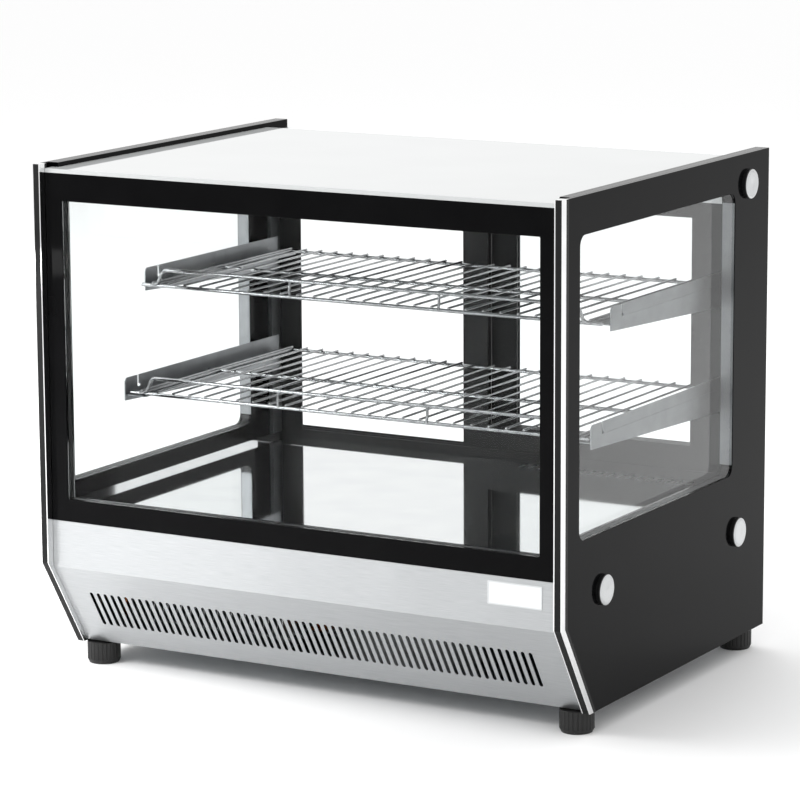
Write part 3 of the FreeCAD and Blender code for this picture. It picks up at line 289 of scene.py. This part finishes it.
slot_of = {part["node"]: part["material_slot"] for part in frame["record"]["subparts"]}
for node_name, node in frame["nodes"].items():
    node.data.materials.clear()
    node.data.materials.append(FINISHES[slot_of[node_name]])


# ---- shapes ------------------------------------------------------------------------------------------
WIRE_CREASE = 50           # degrees; edges sharper than this stay crisp
CAP_CREASE = 25
BEVEL_FROM = 40            # degrees; only edges sharper than this are rounded
CORNER_STEPS = 8


def piece(name, mesh, slot, body, *stands_for):
    """Turn a bmesh into an object that rides on a body and wears one of the record's finishes."""
    data = bpy.data.meshes.new(name)
    mesh.to_mesh(data)
    mesh.free()
    made = bpy.data.objects.new(name, data)
    scene.collection.objects.link(made)
    data.materials.append(FINISHES[slot])
    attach(made, body)
    if stands_for:
        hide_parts(*stands_for)
    return made


def shade_smooth(made, degrees):
    """Smooth shading, with edges sharper than the angle kept crisp."""
    for face in made.data.polygons:
        face.use_smooth = True
    mesh = bmesh.new()
    mesh.from_mesh(made.data)
    for edge in mesh.edges:
        if len(edge.link_faces) == 2 and edge.calc_face_angle(0.0) > math.radians(degrees):
            edge.smooth = False
    mesh.to_mesh(made.data)
    mesh.free()


def closed_loop(mesh, points):
    verts = [mesh.verts.new(p) for p in points]
    return [mesh.edges.new((verts[i - 1], verts[i])) for i in range(len(verts))]


def rounded_corners(low_a, high_a, low_b, high_b, radius):
    """Points of a rounded rectangle in two axes, in order round it."""
    corners = [(high_a - radius, high_b - radius, 0), (low_a + radius, high_b - radius, 90),
               (low_a + radius, low_b + radius, 180), (high_a - radius, low_b + radius, 270)]
    points = []
    for a, b, start in corners:
        for i in range(CORNER_STEPS + 1):
            turn = math.radians(start + 90 * i / CORNER_STEPS)
            points.append((a + radius * math.cos(turn), b + radius * math.sin(turn)))
    return points


def thicken(mesh, direction, thickness):
    """Give a flat mesh its thickness along a direction."""
    made = bmesh.ops.extrude_face_region(mesh, geom=mesh.faces[:])
    moved = [v for v in made["geom"] if isinstance(v, bmesh.types.BMVert)]
    bmesh.ops.translate(mesh, verts=moved, vec=Vector(direction) * thickness)
    bmesh.ops.recalc_face_normals(mesh, faces=mesh.faces)


def ring_plate(outer, inner, direction, thickness):
    """A flat plate with a window, from two closed outlines, thickened along a direction."""
    mesh = bmesh.new()
    edges = closed_loop(mesh, outer) + closed_loop(mesh, inner)
    bmesh.ops.triangle_fill(mesh, use_beauty=True, use_dissolve=False, edges=edges)
    thicken(mesh, direction, thickness)
    return mesh


def sheet(outline, direction, thickness):
    """A flat plate from one closed outline, thickened along a direction."""
    mesh = bmesh.new()
    mesh.faces.new([mesh.verts.new(point) for point in outline])
    thicken(mesh, direction, thickness)
    return mesh


def soften(made, width_mm):
    """Small rounded edges that catch the light."""
    bevel = made.modifiers.new("edges", "BEVEL")
    bevel.width = width_mm * MM
    bevel.segments = 1
    bevel.limit_method = "ANGLE"
    bevel.angle_limit = math.radians(BEVEL_FROM)


def tubes(name, runs, slot, body, *stands_for):
    """Round wires as one mesh; each run is its points and its radius, and bends are smooth curves."""
    line = bpy.data.curves.new(name + "_lines", "CURVE")
    line.dimensions = "3D"
    line.bevel_depth = 1.0
    line.bevel_resolution = 2
    line.use_fill_caps = True
    for points, radius in runs:
        bent = len(points) > 2
        spline = line.splines.new("NURBS" if bent else "POLY")
        spline.points.add(len(points) - 1)
        for control, place in zip(spline.points, points):
            control.co = (*place, 1.0)
            control.radius = radius
        if bent:
            spline.order_u = 3
            spline.use_endpoint_u = True
            spline.resolution_u = 6
    holder = bpy.data.objects.new(name + "_lines", line)
    data = bpy.data.meshes.new_from_object(holder)
    mesh = bmesh.new()
    mesh.from_mesh(data)
    bpy.data.objects.remove(holder)
    shade_smooth(piece(name, mesh, slot, body, *stands_for), WIRE_CREASE)


# ---- glazing: enamelled panes with clear windows, spacer bars and seals ------------------------------
GAP = 0.05 * MM            # between a clear pane and the enamelled ring round it
PANE = 0.6 * MM            # the clear part is drawn as a thin sheet in the middle of its pane
BAR = 7.0 * MM             # width of a spacer bar, in the plane of the panes
EDGE_BAR = 0.5 * MM        # thickness of the grey bar that closes a side window's rear edge
EDGE_BAR_REACH = 1.0 * MM  # how far that bar enters the outer and the inner pane
PANE_BEVEL_MM = 0.3
BEND = 124.5 * MM          # height at which the sides turn inwards, above their lower edge
SETBACK = 79.0 * MM        # how far the lower edge runs back
SIDE_WINDOW = (-255.5 * MM, 195.5 * MM, 258.0 * MM, 639.0 * MM)
SIDE_RADIUS = 14.0 * MM
FRONT_WINDOW = (-352.0 * MM, 352.0 * MM, 242.0 * MM, 640.0 * MM)
FRONT_RADIUS = 1.5 * MM
SIDES = (("left", -1), ("right", 1))


def grown(window, amount):
    """A window (low, high, low, high) made larger all round."""
    return (window[0] - amount, window[1] + amount, window[2] - amount, window[3] + amount)


def shifted(points, step):
    return [point + step for point in points]


def on_side(x, outline):
    """An outline of Y and Z put in the plane at one X."""
    return [Vector((x, y, z)) for y, z in outline]


def on_face(y, outline):
    """An outline of X and Z put in the plane at one Y."""
    return [Vector((x, y, z)) for x, z in outline]


def glaze(name, outline, window, radius, place, direction, layers):
    """The panes of one window: enamelled rings with clear middles, and a spacer bar and seal between them."""
    edge = place(outline)
    opening = place(rounded_corners(*window, radius))
    bar_edge = place(rounded_corners(*grown(window, BAR), radius + BAR))
    clear = place(rounded_corners(*grown(window, -GAP), radius - GAP))
    for layer, start, thickness, stands_for in layers:
        step = Vector(direction) * start
        if layer == "space":
            seal = ring_plate(shifted(edge, step), shifted(bar_edge, step), direction, thickness)
            piece(name + "_seal", seal, "black_border", "case", *stands_for)
            bar = ring_plate(shifted(bar_edge, step), shifted(opening, step), direction, thickness)
            piece(name + "_spacer_bar", bar, "black_track", "case")
        else:
            ring = ring_plate(shifted(edge, step), shifted(opening, step), direction, thickness)
            enamel = piece(name + "_" + layer + "_enamel", ring, "black_border", "case", *stands_for)
            soften(enamel, PANE_BEVEL_MM)
            middle = Vector(direction) * (thickness - PANE) / 2
            window_sheet = sheet(shifted(shifted(clear, step), middle), direction, PANE)
            piece(name + "_" + layer + "_window", window_sheet, "clear_glass", "case")


def side_outline(low, high):
    """The side panel from its front edge to its rear, turned inwards below the bend."""
    return [(low.y, low.z + BEND), (low.y + SETBACK, low.z), (high.y, low.z), (high.y, high.z),
            (low.y, high.z)]


for side, sign in SIDES:
    inner_low, inner_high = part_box(side + "_inner_glass")
    outer_low, outer_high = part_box(side + "_outer_glass")
    face = max(abs(outer_low.x), abs(outer_high.x))
    outer_pane = outer_high.x - outer_low.x
    inner_pane = inner_high.x - inner_low.x
    room = face - outer_pane - max(abs(inner_low.x), abs(inner_high.x))
    at_face = partial(on_side, sign * face)
    glaze(side, side_outline(outer_low, outer_high), SIDE_WINDOW, SIDE_RADIUS, at_face, (-sign, 0, 0),
          [("outer", 0.0, outer_pane, (side + "_outer_glass", side + "_border"))])
    glaze(side, side_outline(inner_low, inner_high), SIDE_WINDOW, SIDE_RADIUS, at_face, (-sign, 0, 0),
          [("space", outer_pane + GAP, room - 2 * GAP, ()),
           ("inner", outer_pane + room, inner_pane, (side + "_inner_glass",))])

for side, sign in SIDES:
    inner_low, inner_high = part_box(side + "_inner_glass")
    outer_low, outer_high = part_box(side + "_outer_glass")
    far = max(abs(outer_low.x), abs(outer_high.x)) - EDGE_BAR_REACH
    near = min(abs(inner_low.x), abs(inner_high.x)) + EDGE_BAR_REACH
    rear_edge = SIDE_WINDOW[1]
    low_end = SIDE_WINDOW[2] + SIDE_RADIUS
    high_end = SIDE_WINDOW[3] - SIDE_RADIUS
    bar_outline = [(rear_edge - EDGE_BAR, low_end), (rear_edge, low_end), (rear_edge, high_end),
                   (rear_edge - EDGE_BAR, high_end)]
    bar_mesh = sheet(on_side(sign * far, bar_outline), (-sign, 0, 0), far - near)
    piece(side + "_edge_bar", bar_mesh, "bracket_steel", "case")

front_low, front_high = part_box("front_outer_glass")
back_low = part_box("front_inner_glass")[0]
front_pane = front_high.y - front_low.y
front_room = back_low.y - front_high.y
glaze("front", [(front_low.x, front_low.z), (front_high.x, front_low.z), (front_high.x, front_high.z),
                (front_low.x, front_high.z)],
      FRONT_WINDOW, FRONT_RADIUS, partial(on_face, front_low.y), (0, 1, 0),
      [("outer", 0.0, front_pane, ("front_outer_glass", "front_border")),
       ("space", front_pane + GAP, front_room - 2 * GAP, ()),
       ("inner", front_pane + front_room, front_pane, ("front_inner_glass",))])


# ---- wire shelves ------------------------------------------------------------------------------------
ROD = 2.5 * MM             # radius of the frame's rods
WIRE = 1.6 * MM            # radius of the thin wires
WIRE_COUNT = 27
WELD = 0.5 * MM            # how deep the wires sink into the rods
WIRE_TIP = 1.0 * MM        # how far the wires pass the front rod's middle
ROD_END = 347.0 * MM       # the front and middle rods reach over the brackets
POST_X = 112.0 * MM        # two uprights carry the guard rail
POST_ROD = 1.9 * MM
# an upright's control points in mm: outwards, forwards, and down from the rail (None is at the frame)
POST_BOW = ((0.0, 1.5, None), (2.5, 2.0, 9.0), (0.0, 0.0, 0.0))
# the guard rail's swept end in mm: outwards from the corner, forwards, and up (None is the rail's height)
RAIL_SWEEP = ((2.0, 1.0, 0.0), (-7.0, 2.0, 1.0), (-11.0, 1.0, 9.0), (-17.0, 0.0, None), (-30.0, 0.0, None))


def wire_shelf(name):
    """Welded mesh of thin wires on thicker rods, with a guard rail whose ends sweep down to the corners."""
    low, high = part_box(name)
    half = high.x - ROD
    front = low.y + ROD
    rear = high.y - ROD
    level = low.z + ROD
    rail = high.z - ROD
    top = level + ROD + WIRE - WELD
    runs = []
    for i in range(WIRE_COUNT):
        x = -half + 2 * half * i / (WIRE_COUNT - 1)
        runs.append(([(x, front - WIRE_TIP, top), (x, high.y, top)], WIRE))
    for y, reach in ((front, ROD_END), ((front + rear) / 2, ROD_END), (rear, half)):
        runs.append(([(-reach, y, level), (reach, y, level)], ROD))
    for sign in (-1, 1):
        runs.append(([(sign * half, front, level), (sign * half, rear, level)], ROD))
        upright = [(sign * (POST_X + out * MM), front - ahead * MM,
                    level if down is None else rail - down * MM) for out, ahead, down in POST_BOW]
        runs.append((upright, POST_ROD))
    right_end = [(half + out * MM, front - ahead * MM, rail if up is None else level + up * MM)
                 for out, ahead, up in RAIL_SWEEP]
    left_end = [(-x, y, z) for x, y, z in right_end]
    runs.append((left_end + [(0, front, rail)] + right_end[::-1], ROD))
    tubes(name + "_wires", runs, "chrome_wire", name, name)


wire_shelf("upper_shelf")
wire_shelf("lower_shelf")


# ---- turned caps on the side panels ------------------------------------------------------------------
CAP_PLACES = ((235.5 * MM, 647.0 * MM), (209.5 * MM, 178.0 * MM), (-189.5 * MM, 184.0 * MM))
CAP_RADIUS = 19.4 * MM
CAP_DEPTH = 1.4 * MM
CAP_SUNK = 1.5 * MM        # the disc's back lies this far inside the outermost plane of the caps
CAP_SEGMENTS = 48
CENTRE_MARK = 0.9 * MM
CENTRE_DEPTH = 0.3 * MM
# a shallow groove and the chamfer in mm: inwards from the rim, and down from the face
CAP_STEPS = ((3.4, 0.0), (3.0, 0.5), (2.6, 0.0), (1.6, 0.0), (0.5, 0.5), (0.0, 1.0))
MERGE = 1e-6


def cap_face(name, x, y, z, sign, stands_for):
    """A turned disc: small centre mark, flat face with a groove near its rim, and a chamfer."""
    profile = [(0, CAP_DEPTH - CENTRE_DEPTH), (CENTRE_MARK, CAP_DEPTH)]
    profile += [(CAP_RADIUS - inwards * MM, CAP_DEPTH - down * MM) for inwards, down in CAP_STEPS]
    profile += [(CAP_RADIUS, 0), (0, 0)]
    mesh = bmesh.new()
    verts = [mesh.verts.new((out, 0, up)) for out, up in profile]
    edges = [mesh.edges.new((verts[i], verts[i + 1])) for i in range(len(verts) - 1)]
    bmesh.ops.spin(mesh, geom=edges + verts, cent=(0, 0, 0), axis=(0, 0, 1), angle=2 * math.pi,
                   steps=CAP_SEGMENTS, use_merge=True)
    bmesh.ops.remove_doubles(mesh, verts=mesh.verts, dist=MERGE)
    bmesh.ops.recalc_face_normals(mesh, faces=mesh.faces)
    turning = mesh.loops.layers.uv.new("turning")
    for face in mesh.faces:
        for loop in face.loops:
            loop[turning].uv = (loop.vert.co.xy.length / CAP_RADIUS, 0.5)
    mesh.transform(Matrix.Translation((x, y, z)) @ Matrix.Rotation(sign * math.pi / 2, 4, "Y"))
    shade_smooth(piece(name, mesh, "cap_metal", "case", *stands_for), CAP_CREASE)


disc_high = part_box("cap_discs")[1]
seat = disc_high.x - CAP_SUNK
for number, (y, z) in enumerate(CAP_PLACES):
    cap_face(f"left_cap_face_{number + 1}", -seat, y, z, -1, ())
    cap_face(f"right_cap_face_{number + 1}", seat, y, z, 1, ("cap_discs",) if number == 0 else ())


# ---- trims: sealing strips where they meet the panes -------------------------------------------------
SEAL = 0.3 * MM
CORNER_SEAL = 0.24 * MM
SEAL_NEAR = 10.5 * MM      # a seal's two edges, measured back from the trim's front edge
SEAL_FAR = 16.0 * MM
trim_low, trim_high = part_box("right_trim")
glass_low, glass_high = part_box("front_outer_glass")
panel_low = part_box("right_outer_glass")[0]


def trim_band(near, far):
    """A band down the side of a trim, between two depths behind its front edge."""
    front = trim_low.y
    bend = trim_low.z + BEND
    return [(front + near, trim_high.z), (front + near, bend), (front + near + SETBACK, trim_low.z),
            (front + far + SETBACK, trim_low.z), (front + far, bend), (front + far, trim_high.z)]


CORNER_BAND = [(glass_low.y, glass_high.z), (panel_low.y, glass_high.z), (panel_low.y, trim_high.z),
               (glass_low.y, trim_high.z)]
for side, sign in SIDES:
    band = sheet(on_side(sign * trim_high.x, trim_band(SEAL_NEAR, SEAL_FAR)), (sign, 0, 0), SEAL)
    piece(side + "_trim_seal", band, "black_insert", "case")
    lip = sheet(on_side(sign * trim_low.x, CORNER_BAND), (-sign, 0, 0), CORNER_SEAL)
    piece(side + "_corner_seal", lip, "black_insert", "case")


# ---- blank badge -------------------------------------------------------------------------------------
BADGE_ROUND = 1.5 * MM
RIM_WIDTH = 1.6 * MM
RIM_HEIGHT = 0.3 * MM
RIM_INNER_ROUND = 1.0 * MM
RIM_BEVEL_MM = 0.1
badge_low, badge_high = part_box("badge")
badge_window = (badge_low.x, badge_high.x, badge_low.z, badge_high.z)
badge_edge = on_face(badge_low.y, rounded_corners(*badge_window, BADGE_ROUND))
badge_field = on_face(badge_low.y, rounded_corners(*grown(badge_window, -RIM_WIDTH), RIM_INNER_ROUND))
rim = ring_plate(badge_edge, badge_field, (0, -1, 0), RIM_HEIGHT)
soften(piece("badge_rim", rim, "aluminium", "case"), RIM_BEVEL_MM)


# ---- controller display ------------------------------------------------------------------------------
DISPLAY_LEFT = 19.6 * MM   # the display's edges, from the middle of the controller
DISPLAY_RIGHT = 13.6 * MM
DISPLAY_HALF = 8.6 * MM
DISPLAY_ROUND = 1.0 * MM
DISPLAY_SUNK = 1.0 * MM    # its back lies this far inside the controller's outermost plane
DISPLAY_THICK = 0.6 * MM
DISPLAY_BEVEL_MM = 0.15
body_low, body_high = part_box("temperature_controller")
centre_x = (body_low.x + body_high.x) / 2
centre_z = (body_low.z + body_high.z) / 2
display_outline = rounded_corners(centre_x - DISPLAY_LEFT, centre_x + DISPLAY_RIGHT,
                                  centre_z - DISPLAY_HALF, centre_z + DISPLAY_HALF, DISPLAY_ROUND)
display = sheet(on_face(body_high.y - DISPLAY_SUNK, display_outline), (0, 1, 0), DISPLAY_THICK)
soften(piece("controller_display", display, "black_border", "case"), DISPLAY_BEVEL_MM)


# ---- stage, lamps and camera -----------------------------------------------------------------------
FLOOR_HALF = 30.0
SKY_STRENGTH = 1.03


def backdrop():
    made, tree = new_material("matt_white_paper")
    fibre = speckle(tree, 3, 2.0)
    shader = add(tree, "ShaderNodeBsdfPrincipled", {
        "Base Color": ramp(tree, fibre, "#f8f8f8", "#fbfbfb"), "Roughness": 0.9, "Specular IOR Level": 0.2})
    finish_material(tree, shader.outputs[0])
    return made


floor_mesh = bmesh.new()
bmesh.ops.create_grid(floor_mesh, x_segments=1, y_segments=1, size=FLOOR_HALF)
floor_data = bpy.data.meshes.new("floor")
floor_mesh.to_mesh(floor_data)
floor_mesh.free()
floor = bpy.data.objects.new("floor", floor_data)
scene.collection.objects.link(floor)
floor_data.materials.append(backdrop())

world = bpy.data.worlds.new("studio")
scene.world = world
world.use_nodes = True
world.node_tree.nodes.clear()
sky = add(world.node_tree, "ShaderNodeBackground", {"Color": (1.0, 1.0, 1.0, 1.0), "Strength": SKY_STRENGTH})
add(world.node_tree, "ShaderNodeOutputWorld", {"Surface": sky.outputs[0]})


def soft_box(name, place, aim, width, height, watts):
    """A rectangular lamp at a place, turned to face a point."""
    lamp = bpy.data.lights.new(name, "AREA")
    lamp.shape = "RECTANGLE"
    lamp.size = width
    lamp.size_y = height
    lamp.energy = watts
    made = bpy.data.objects.new(name, lamp)
    made.location = place
    made.rotation_euler = (Vector(aim) - Vector(place)).to_track_quat("-Z", "Y").to_euler()
    scene.collection.objects.link(made)


soft_box("key_lamp", place=(-2.0, -1.8, 3.2), aim=(-0.6, -0.8, 0.0), width=2.4, height=2.4, watts=40)
soft_box("floor_lamp", place=(-1.05, -1.15, 1.0), aim=(-1.05, -1.15, 0.0), width=0.7, height=0.7, watts=10)
soft_box("edge_lamp", place=(-0.55, -0.62, 0.5), aim=(-0.5, -0.5, 0.0), width=0.35, height=0.35, watts=2.0)
soft_box("rear_lamp", place=(-0.8, 2.4, 3.0), aim=(-0.4, 0.9, 0.0), width=3.0, height=2.0, watts=40)

scene.view_settings.view_transform = "Standard"
scene.cycles.transparent_max_bounces = 24
scene.cycles.glossy_bounces = 8

AZIMUTH = math.radians(29.8)
ELEVATION = math.radians(10.75)
ROLL = math.radians(-0.30)
DISTANCE = 4.89
AIM = Vector((-0.0082, -0.0047, 0.3589))
LENS_MM = 164.2
SENSOR_MM = 36.0

camera_data = bpy.data.cameras.new("camera")
camera_data.lens = LENS_MM
camera_data.sensor_width = SENSOR_MM
camera = bpy.data.objects.new("camera", camera_data)
scene.collection.objects.link(camera)
back = Vector((math.sin(AZIMUTH) * math.cos(ELEVATION), -math.cos(AZIMUTH) * math.cos(ELEVATION),
               math.sin(ELEVATION)))
across = Vector((0, 0, 1)).cross(back).normalized()
upwards = back.cross(across)
turned = Matrix((across * math.cos(ROLL) + upwards * math.sin(ROLL),
                 upwards * math.cos(ROLL) - across * math.sin(ROLL), back)).transposed()
camera.matrix_world = Matrix.Translation(AIM + back * DISTANCE) @ turned.to_4x4()
scene.camera = camera
